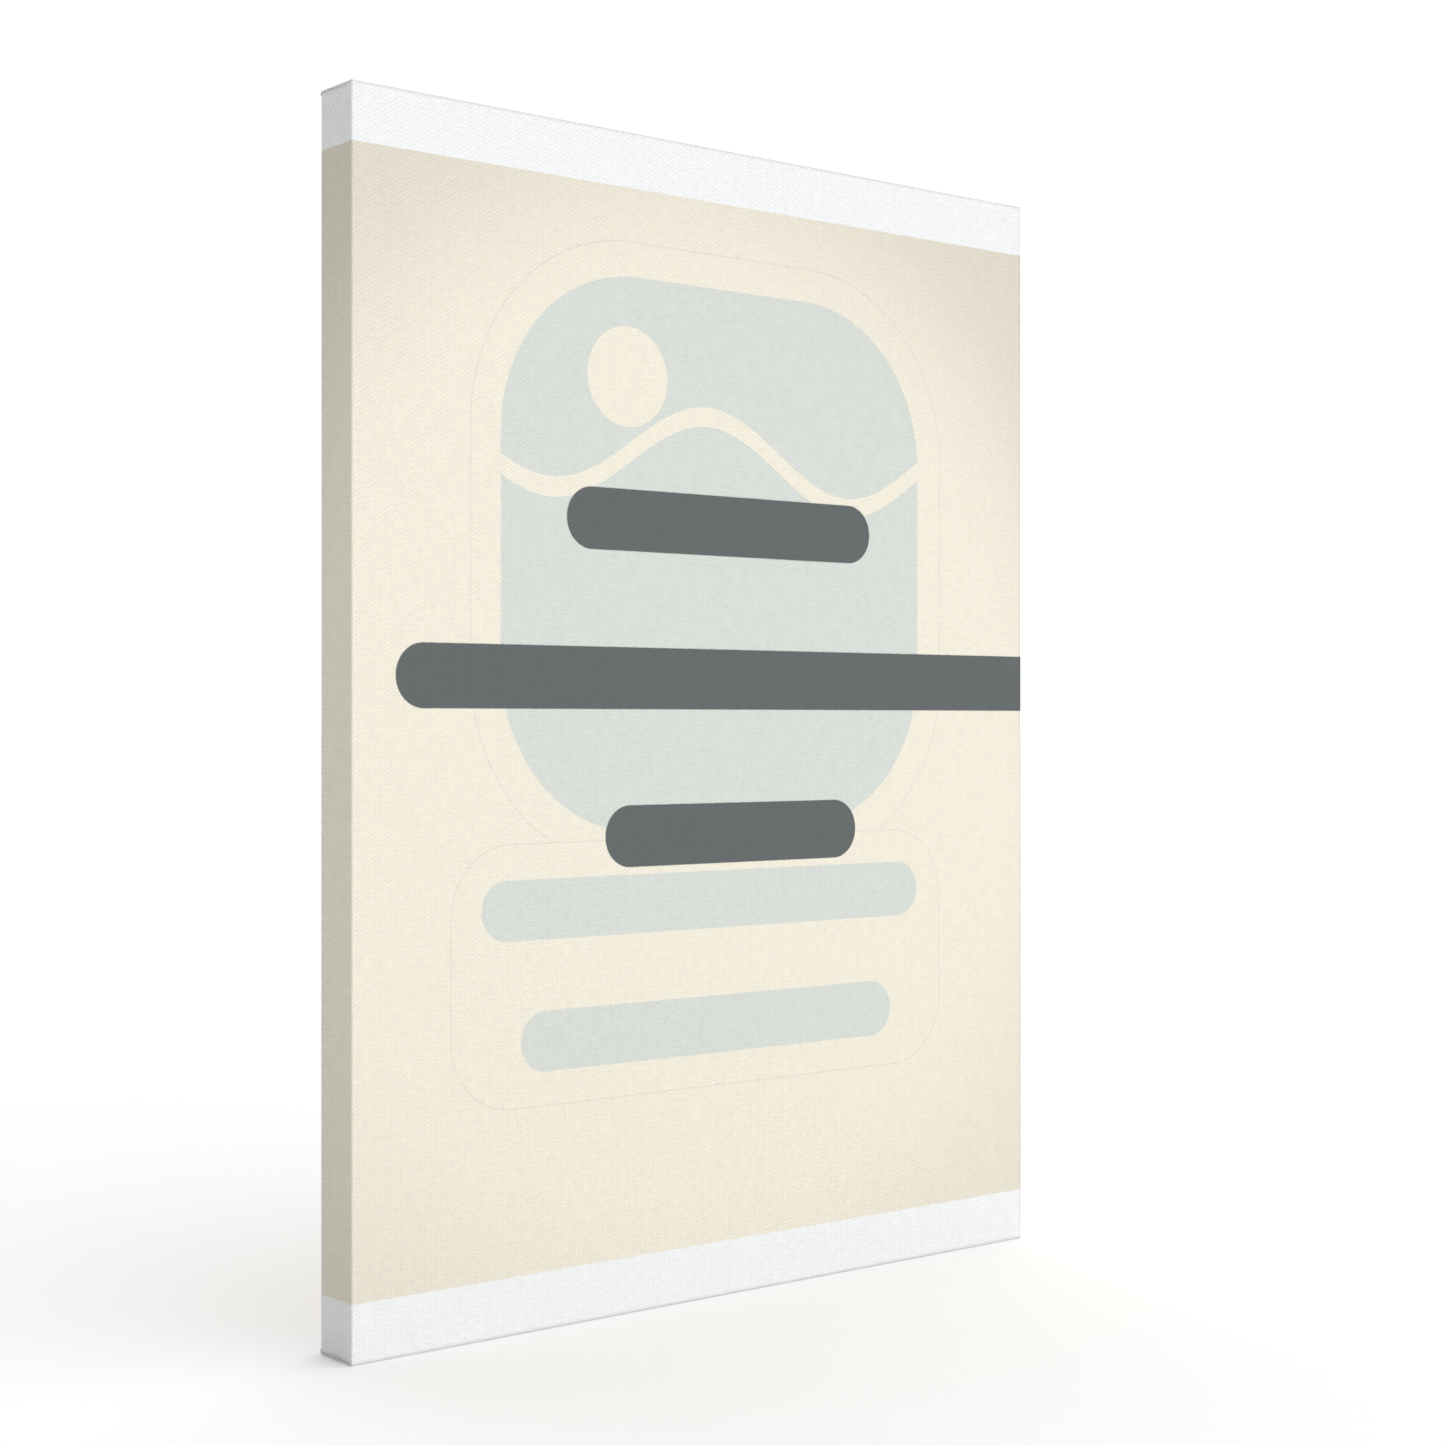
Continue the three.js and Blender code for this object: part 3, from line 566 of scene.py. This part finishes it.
def fold_quadrant(p, q, fold):
    """Folds one quarter of the cloth. p and q are how far a point of the flat cloth lies past the side
    crease and the top crease. Returns the place as sideways, depth and up, from the picture's middle.
    The corner is folded as a parcel is: the side cloth runs up and over onto the top edge, the cloth
    between is tucked under, and the top cloth lies over both with its fold level with the side."""
    past_p, short_p = bend(p, fold.edge)
    past_q, short_q = bend(q, fold.edge)
    if p <= 0 and q <= 0:
        return fold.half_width + short_p, fold.front + past_p + past_q, fold.half_height + short_q
    if q > 0 and p <= q:
        # The fold opens from almost nothing at the crease.
        least = 1e-9
        inward, level = doubled(p, fold.step * smooth_step(q / LAYERED) + least)
        level += 1.5 - 0.5 * smooth_step((p - q) / DIAGONAL + 1) * (1 if p > 0 else 0)
        depth, up = wrap_top(fold, inward, q, level, 2 - level)
        away = smooth_step(q / UNROUNDED)
        # On the back the folded end is drawn in a little, so that it doesn't show from the front.
        most, run, begun = 1.7 * MM, 5 * MM, 0.4
        drawn_in = most * smooth_step((q - fold.depth) / run + begun)
        drawn_in *= 1 - smooth_step(inward / fold.depth)
        sideways = blend(fold.half_width + short_p, fold.crease_x - inward - drawn_in, away)
        return sideways, depth + past_p * (1 - away), up
    over_top, below_top = bend(q, fold.side_top)
    if q > 0 and q > p - fold.depth:
        away = smooth_step(p / UNROUNDED)
        depth, up = wrap_top(fold, q, p, 0.0, 2.0)
        up += blend(short_q, below_top, away)
        return fold.half_width + short_p - over_top * away, depth + past_q * (1 - away), up
    if p > fold.depth / 2:
        past, short = bend(p - fold.depth, fold.back_edge)
        sideways, depth = fold.half_width - past, fold.back + short
    else:
        past, short = past_p, short_p
        sideways, depth = fold.half_width + short_p, fold.front + past_p
    away = smooth_step(p / UNROUNDED)
    tucked = 2 * fold.step * smooth_step(p / LAYERED) * smooth_step(q / TUCKED + 1)
    up_side = fold.half_height - tucked + blend(short_q, below_top, away)
    on_back = smooth_step((p - fold.depth) / ONTO_BACK)
    inward, level = doubled(q, fold.step)
    up_back = fold.crease_z - inward
    raised = (0.5 - level) * fold.step * on_back
    sideways -= over_top * away * (1 - on_back)
    depth += past_q * (1 - away) + raised
    return sideways, depth, blend(up_side, up_back, on_back)


def staple_places():
    """Middle of each staple's crown, with the direction that the crown runs in."""
    places = []
    for name in STAPLES:
        low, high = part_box(name)
        across = high.x - low.x > high.z - low.z
        middle = (low + high) / 2
        places.append((middle.x, middle.z, across))
    return places


def crown_distance(x, z, places):
    """Distance on the back from a point to the nearest staple's crown."""
    half_crown = 4.5 * MM
    nearest = 1.0
    for cx, cz, across in places:
        dx, dz = abs(x - cx), abs(z - cz)
        if across:
            dx = max(dx - half_crown, 0.0)
        else:
            dz = max(dz - half_crown, 0.0)
        nearest = min(nearest, math.hypot(dx, dz))
    return nearest


def mesh_lines(cloth, fold, crease, cut):
    """Places of the mesh lines from one cut edge to the other: close together round each bend, evenly
    spaced where the corners fold, and wide apart in the middle."""
    # The ends, quarters and middle of a right-angled bend, as shares of its radius.
    turns = (-0.785, -0.39, 0, 0.39, 0.785)
    # Millimetres past the front crease where the folded layers part.
    parting = (-1.2, 1.2, 2, 3.5)
    bends = [crease + turn * fold.edge for turn in turns]
    bends += [crease + end * fold.step for end in (turns[0], turns[-1])]
    bends += [crease + place * MM for place in parting]
    bends += [crease + fold.depth + turn * fold.back_edge for turn in turns]
    start = crease - fold.depth - fold.flange - 2 * cloth.spacing
    count = round((cut - start) / cloth.corner_spacing)
    even = [start + (cut - start) * i / count for i in range(1, count + 1)]
    closest = 0.3 * cloth.corner_spacing
    kept = [place for place in even if min(abs(place - other) for other in bends) > closest]
    half = sorted(bends + kept)
    count = round(2 * start / cloth.spacing)
    middle = [start * (2 * i / count - 1) for i in range(count + 1)]
    return [-place for place in reversed(half)] + middle + half


def flat_cloth(cloth, fold):
    """The cloth as it is cut: a flat grid with mesh lines along every crease, and its UV map."""
    near, snap = 1e-7, 1e-6
    bm = bmesh.new()
    ends = ((fold.crease_x, fold.cut_x), (fold.crease_z, fold.cut_z))
    lines = [mesh_lines(cloth, fold, crease, cut) for crease, cut in ends]
    segments = [len(places) - 1 for places in lines]
    bmesh.ops.create_grid(bm, x_segments=segments[0], y_segments=segments[1], size=1)
    for vert in bm.verts:
        for axis, places in enumerate(lines):
            vert.co[axis] = places[round((vert.co[axis] + 1) / 2 * segments[axis])]
    # The parcel folds turn on two diagonals at each corner, so the grid is cut along both.
    for side_x in (-1, 1):
        for side_z in (-1, 1):
            corner = Vector((side_x * fold.crease_x, side_z * fold.crease_z, 0))
            for along in (0.0, fold.depth):
                start = corner + Vector((side_x * along, 0, 0))
                faces = [face for face in bm.faces if all(
                    (v.co.x - corner.x) * side_x > -near and (v.co.y - corner.y) * side_z > -near
                    for v in face.verts)]
                geom = list({v for face in faces for v in face.verts})
                geom += list({e for face in faces for e in face.edges}) + faces
                normal = Vector((side_x, -side_z, 0))
                bmesh.ops.bisect_plane(bm, geom=geom, dist=snap, plane_co=start, plane_no=normal)
    layer = bm.loops.layers.uv.new("flat_cloth")
    for face in bm.faces:
        for loop in face.loops:
            loop[layer].uv = (loop.vert.co.x + MAP_MIDDLE, loop.vert.co.y + MAP_MIDDLE)
    return bm


def pulled_in(u, v, fold):
    """How far the face of the picture dips where the cloth is pulled: faint rays from each corner, and
    scallops between the staples."""
    ray_depth, ray_start, ray_fade, rays_to_radian = 0.3, 12 * MM, 42 * MM, 14
    scallop_depth, pitch, scallop_fade, bead = 0.12, 47 * MM, 15 * MM, 7 * MM
    from_side = fold.crease_x - abs(u)
    from_top = fold.crease_z - abs(v)
    reach = math.hypot(from_side, from_top)
    # The rays start at another angle in each corner.
    turn = rays_to_radian * math.atan2(from_top, from_side) + 3 * u / abs(u or 1) + 5 * v / abs(v or 1)
    rays = 0.5 * (1 + math.sin(turn)) * smooth_step(reach / ray_start) * math.exp(-reach / ray_fade)
    scallops = 0.5 * (1 + math.cos(2 * math.pi * u / pitch)) * math.exp(-from_top / scallop_fade)
    scallops += 0.5 * (1 + math.cos(2 * math.pi * v / pitch)) * math.exp(-from_side / scallop_fade)
    past_bead = smooth_step(min(from_side, from_top) / bead)
    return (ray_depth * rays + scallop_depth * scallops) * MM * past_bead


def cloth_place(u, v, fold, places):
    """Where a point of the flat cloth lies on the frame."""
    # Shears leave the cut edge a little uneven: a slow swing with a quicker one on it.
    slow, quick, cut_margin = 0.22 * MM, 0.16 * MM, 2 * MM
    wave = slow * math.sin(310 * u + 1) + quick * math.sin(790 * u + 4)
    ripple = slow * math.sin(290 * v + 2) + quick * math.sin(830 * v + 5)
    near_cut_x = smooth_step((abs(u) - fold.cut_x) / cut_margin + 1)
    near_cut_z = smooth_step((abs(v) - fold.cut_z) / cut_margin + 1)
    p = abs(u) - fold.crease_x + ripple * near_cut_x
    q = abs(v) - fold.crease_z + wave * near_cut_z
    if q > 0:
        # The shears take a little more off the layers that are folded under.
        trimmed = 0.9 * MM
        q -= trimmed * near_cut_z * smooth_step(p / cut_margin)
    sideways, depth, up = fold_quadrant(p, q, fold)
    x = math.copysign(sideways, u)
    z = math.copysign(up, v) + PICTURE_MIDDLE
    if p < 0 and q < 0:
        depth += pulled_in(u, v, fold)
    if p > fold.depth or q > fold.depth:
        # The turned-over cloth rises to the staples' crowns, and bulges a little between them.
        lift, lifted_at, bulge, bulged_at, held = 0.16 * MM, 6 * MM, 0.3 * MM, 16 * MM, 7 * MM
        from_edge = min(fold.half_width - sideways, fold.half_height - up)
        free = 1 - math.exp(-(crown_distance(x, z, places) / held) ** 2)
        depth += lift * smooth_step(from_edge / lifted_at)
        depth += bulge * free * smooth_step(from_edge / bulged_at)
    return Vector((x, depth, z))


def finished_mesh(name, bm, materials, smooth_angle=35):
    """Turns a bmesh into an object at the origin, with smooth faces and sharp edges kept sharp."""
    limit = math.radians(smooth_angle)
    for face in bm.faces:
        face.smooth = True
    for edge in bm.edges:
        edge.smooth = len(edge.link_faces) != 2 or edge.calc_face_angle(0.0) < limit
    mesh = bpy.data.meshes.new(name)
    bm.to_mesh(mesh)
    bm.free()
    for material in materials:
        mesh.materials.append(material)
    piece = bpy.data.objects.new(name, mesh)
    bpy.context.scene.collection.objects.link(piece)
    return piece


class CANVAS_OT_cloth(bpy.types.Operator):
    """Folds the printed cloth over the stretcher, with parcel corners and a flange round the back"""
    bl_idname = "canvas.cloth"
    bl_label = "Cloth"

    def execute(self, context):
        cloth = context.scene.canvas_cloth
        fold = folding(cloth)
        bm = flat_cloth(cloth, fold)
        places = staple_places()
        for vert in bm.verts:
            vert.co = cloth_place(vert.co.x, vert.co.y, fold, places)
        materials = [primed_canvas(cloth), raw_canvas(cloth), raw_canvas(cloth, "raw_canvas_cut_edge")]
        piece = finished_mesh("stretched_cloth", bm, materials, smooth_angle=180)
        wall = piece.modifiers.new("cloth_thickness", "SOLIDIFY")
        wall.thickness = cloth.thickness
        wall.offset = 0
        wall.material_offset = 1
        wall.material_offset_rim = 2
        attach(piece, "frame")
        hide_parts("canvas")
        return {"FINISHED"}


def yarn(start, heading, length, steps, curl, radius):
    """A short four-sided yarn that leaves start along heading, and turns by curl at each step."""
    bm = bmesh.new()
    ring = bmesh.ops.create_circle(bm, cap_ends=True, segments=4, radius=radius)["verts"]
    upright = heading.to_track_quat("Z", "Y").to_matrix()
    bmesh.ops.rotate(bm, cent=(0, 0, 0), matrix=upright, verts=ring)
    bmesh.ops.translate(bm, vec=start, verts=ring)
    cap = ring[0].link_faces[0]
    for _ in range(steps):
        grown = bmesh.ops.extrude_face_region(bm, geom=[cap])["geom"]
        ring = [item for item in grown if isinstance(item, bmesh.types.BMVert)]
        cap = next(item for item in grown if isinstance(item, bmesh.types.BMFace))
        middle = sum((v.co for v in ring), Vector()) / len(ring)
        bmesh.ops.rotate(bm, cent=middle, matrix=curl.to_matrix(), verts=ring)
        heading = curl @ heading
        bmesh.ops.translate(bm, vec=heading * length / steps, verts=ring)
    return bm


def fringe_row(bm, fold, places, along_x, sign, pitch, rng):
    """Thread ends along one cut edge: short stubs at every thread, and now and then a long loose one."""
    margin, root, yarn_radius = 1.5 * MM, 0.3 * MM, 0.13 * MM
    loose_share, loose_steps = 0.035, 7
    strand = bpy.data.meshes.new("strand")
    reach = fold.crease_x if along_x else fold.crease_z - fold.flange
    place = margin - reach
    while place < reach - margin:
        u, v = (place, sign * fold.cut_z) if along_x else (sign * fold.cut_x, place)
        start = cloth_place(u, v, fold, places)
        inward = Vector((0, 0, -sign)) if along_x else Vector((-sign, 0, 0))
        side = Vector((rng.uniform(-0.35, 0.35), rng.uniform(-0.1, 0.25), rng.uniform(-0.35, 0.35)))
        heading = (inward + side).normalized()
        loose = rng.random() < loose_share
        length = rng.uniform(2.5, 8) * MM if loose else rng.uniform(0.25, 0.8) * MM
        steps = loose_steps if loose else 1
        axis = Vector((rng.uniform(-0.2, 0.2), 1, rng.uniform(-0.2, 0.2)))
        curl = Quaternion(axis, rng.uniform(-0.3, 0.3) if loose else 0.0)
        made = yarn(start - root * inward, heading, length + root, steps, curl, yarn_radius)
        made.to_mesh(strand)
        made.free()
        bm.from_mesh(strand)
        place += pitch * rng.uniform(0.8, 1.2)
    bpy.data.meshes.remove(strand)


class CANVAS_OT_fringe(bpy.types.Operator):
    """Makes the frayed thread ends along the cloth's cut edges"""
    bl_idname = "canvas.fringe"
    bl_label = "Frayed edges"

    def execute(self, context):
        cloth = context.scene.canvas_cloth
        fold = folding(cloth)
        places = staple_places()
        rng = random.Random(11)
        bm = bmesh.new()
        for sign in (-1, 1):
            fringe_row(bm, fold, places, True, sign, cloth.warp_pitch, rng)
            fringe_row(bm, fold, places, False, sign, cloth.weft_pitch, rng)
        piece = finished_mesh("frayed_threads", bm, [cotton_yarn(cloth)], smooth_angle=100)
        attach(piece, "frame")
        return {"FINISHED"}


# ---- Wood and metal ----

def eased_copy(node, name, easing, material, slot, body):
    """Puts a copy of a CAD node's mesh in its place, on the body that carries it, with its corners
    merged and its sharp edges rounded."""
    merged, flat, sharp = 0.002 * MM, math.radians(0.4), math.radians(28)
    bm = bmesh.new()
    bm.from_mesh(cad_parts[node].data)
    bmesh.ops.remove_doubles(bm, verts=bm.verts[:], dist=merged)
    bmesh.ops.dissolve_limit(bm, angle_limit=flat, verts=bm.verts[:], edges=bm.edges[:])
    edges = [edge for edge in bm.edges if len(edge.link_faces) == 2 and edge.calc_face_angle(0.0) > sharp]
    bmesh.ops.bevel(bm, geom=edges, offset=easing, offset_type="OFFSET", segments=2, profile=0.5,
                    affect="EDGES", material=-1, clamp_overlap=True)
    bmesh.ops.triangulate(bm, faces=[face for face in bm.faces if len(face.verts) > 4])
    piece = finished_mesh(name, bm, [material])
    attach(piece, body)
    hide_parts(node)


class CANVAS_OT_bars(bpy.types.Operator):
    """Makes the four pine stretcher bars with eased edges and their own grain"""
    bl_idname = "canvas.bars"
    bl_label = "Stretcher bars"

    def execute(self, context):
        wood = context.scene.canvas_wood
        for index, node in enumerate(BARS):
            along = "x" if node in ("bar_top", "bar_bottom") else "z"
            low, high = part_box(node)
            middle = (low + high) / 2 / MM
            across = middle.z if along == "x" else -middle.x
            # Each bar comes from another place in the tree, so its rings lie and lean another way.
            pith = (0, 60 + 9 * index, -395 + 60 * index)
            lean = 0.018 - 0.011 * index
            knot = (KNOTS[index][0], across + KNOTS[index][1])
            grain = planed_pine(f"planed_pine_{node}", wood, along, pith, lean, knot)
            eased_copy(node, f"stretcher_{node}", wood.bar_easing, grain, "pine", "frame")
        return {"FINISHED"}


class CANVAS_OT_keys(bpy.types.Operator):
    """Makes the beech wedges that slide in the corner slots"""
    bl_idname = "canvas.keys"
    bl_label = "Wedges"

    def execute(self, context):
        wood = context.scene.canvas_wood
        lying = sawn_beech("sawn_beech_lying", wood, "x")
        standing = sawn_beech("sawn_beech_standing", wood, "z")
        for node in KEYS:
            grain = lying if node.endswith("horizontal") else standing
            eased_copy(node, node.replace("key", "wedge"), wood.key_easing, grain, "key_wood", node)
        return {"FINISHED"}


class CANVAS_OT_staples(bpy.types.Operator):
    """Makes the wire staples that hold the cloth to the bars"""
    bl_idname = "canvas.staples"
    bl_label = "Staples"

    def execute(self, context):
        metal = context.scene.canvas_metal
        wire = drawn_metal("galvanised_wire", metal.zinc, metal.zinc_dull, 0.34, (900, 900, 9000))
        for node in STAPLES:
            name = node.replace("staple", "wire")
            eased_copy(node, name, metal.staple_easing, wire, "staple_wire", "frame")
        return {"FINISHED"}


class CANVAS_OT_hanger(bpy.types.Operator):
    """Makes the sawtooth hanger and the two nails that hold it"""
    bl_idname = "canvas.hanger"
    bl_label = "Hanger and nails"

    def execute(self, context):
        metal = context.scene.canvas_metal
        plate = drawn_metal("brass_plated_strip", metal.brass, metal.brass_dull, 0.3, (500, 9000, 9000))
        names = ("sawtooth_hanger", "toothed_strip")
        eased_copy(*names, metal.hanger_easing, plate, "hanger_plate", "frame")
        bright = drawn_metal("bright_steel_pin", metal.steel, metal.steel_dull, 0.28, (4000, 4000, 4000))
        for node in NAILS:
            name = node.replace("hanger_nail", "pin")
            eased_copy(node, name, metal.nail_easing, bright, "nail_steel", "frame")
        return {"FINISHED"}


# ---- Stage ----

def painted_floor(stage):
    """A round matt white floor, faintly mottled, that reaches past every view."""
    material, tree = blank_material("matt_white_floor")
    place = add(tree, "TexCoord", out="Object")
    mottle = add(tree, "TexNoise", named={"Vector": place, "Scale": 3.0, "Detail": 2.0})
    tone = painted(tree, (*stage.floor_colour, 1), [(stage.floor_mottle, mottle)])
    finish = {"Base Color": tone, "Roughness": 0.9, "Specular IOR Level": 0.1}
    add(tree, "OutputMaterial", add(tree, "BsdfPrincipled", named=finish))
    bm = bmesh.new()
    bmesh.ops.create_circle(bm, cap_ends=True, segments=96, radius=stage.floor_radius)
    finished_mesh("floor", bm, [material])


def white_room(stage):
    """A world that is bright on the right and overhead, and shaded on the left."""
    shaded_from, bright_from = -0.87, 0.22
    world = bpy.data.worlds.new("white_room")
    world.use_nodes = True
    tree = world.node_tree
    tree.nodes.clear()
    toward = add(tree, "SeparateXYZ", add(tree, "TexCoord", out="Generated"))
    levels = (shaded_from, bright_from, stage.shade, stage.sky)
    lit = add(tree, "MapRange", toward, *levels, interpolation_type="SMOOTHSTEP")
    higher = add(tree, "Math", toward.outputs[2], stage.overhead, 1.0, operation="MULTIPLY_ADD")
    bright = add(tree, "Math", lit, higher, operation="MULTIPLY")
    add(tree, "OutputWorld", add(tree, "Background", (1, 1, 1, 1), bright))
    bpy.context.scene.world = world


def softbox(stage):
    """A wide, low area light in front of the picture, turned to its middle."""
    width, height, place = 1.4, 0.18, Vector((0, -0.95, 0.1))
    light = bpy.data.lights.new("softbox", "AREA")
    light.shape = "RECTANGLE"
    light.size = width
    light.size_y = height
    light.energy = stage.key_power
    lamp = bpy.data.objects.new("softbox", light)
    lamp.location = place
    lamp.rotation_euler = (Vector((0, 0, PICTURE_MIDDLE)) - place).to_track_quat("-Z", "Y").to_euler()
    lamp.visible_camera = False
    bpy.context.scene.collection.objects.link(lamp)


def level_camera(stage):
    """A camera level with the picture's middle, in front and to the left, with the uprights upright."""
    left, forward, turn = 0.55106, 0.66441, -39.65
    data = bpy.data.cameras.new("camera")
    data.lens = stage.lens
    data.sensor_width = 36
    camera = bpy.data.objects.new("camera", data)
    camera.location = (-left, CLOTH_LOW.y - forward, PICTURE_MIDDLE)
    camera.rotation_euler = (math.radians(90), 0, math.radians(turn))
    bpy.context.scene.collection.objects.link(camera)
    bpy.context.scene.camera = camera


class CANVAS_OT_stage(bpy.types.Operator):
    """Sets out the floor, the white room, the softbox and the camera"""
    bl_idname = "canvas.stage"
    bl_label = "Floor, light and camera"

    def execute(self, context):
        stage = context.scene.canvas_stage
        painted_floor(stage)
        white_room(stage)
        softbox(stage)
        level_camera(stage)
        context.scene.view_settings.view_transform = "Standard"
        return {"FINISHED"}


# ---- Add-on ----

class CANVAS_PT_sidebar(bpy.types.Panel):
    """Lists the pieces in the 3D view's sidebar"""
    bl_label = "Stretched canvas"
    bl_space_type = "VIEW_3D"
    bl_region_type = "UI"
    bl_category = "Canvas"

    def draw(self, context):
        for operator in OPERATORS:
            self.layout.operator(operator.bl_idname)


SETTINGS = {
    "canvas_cloth": ClothSettings,
    "canvas_wood": WoodSettings,
    "canvas_metal": MetalSettings,
    "canvas_stage": StageSettings,
}
OPERATORS = (
    CANVAS_OT_stage,
    CANVAS_OT_fringe,
    CANVAS_OT_cloth,
    CANVAS_OT_bars,
    CANVAS_OT_keys,
    CANVAS_OT_staples,
    CANVAS_OT_hanger,
)


def register():
    """Adds the settings, the operators and the panel to Blender."""
    for group in SETTINGS.values():
        bpy.utils.register_class(group)
    for name, group in SETTINGS.items():
        setattr(bpy.types.Scene, name, bpy.props.PointerProperty(type=group))
    for cls in (*OPERATORS, CANVAS_PT_sidebar):
        bpy.utils.register_class(cls)


def unregister():
    """Takes them out again."""
    for cls in (CANVAS_PT_sidebar, *reversed(OPERATORS)):
        bpy.utils.unregister_class(cls)
    for name, group in SETTINGS.items():
        delattr(bpy.types.Scene, name)
        bpy.utils.unregister_class(group)


def main():
    """Builds the whole canvas."""
    register()
    for operator in OPERATORS:
        group, name = operator.bl_idname.split(".")
        getattr(getattr(bpy.ops, group), name)()


if __name__ == "__main__":
    main()
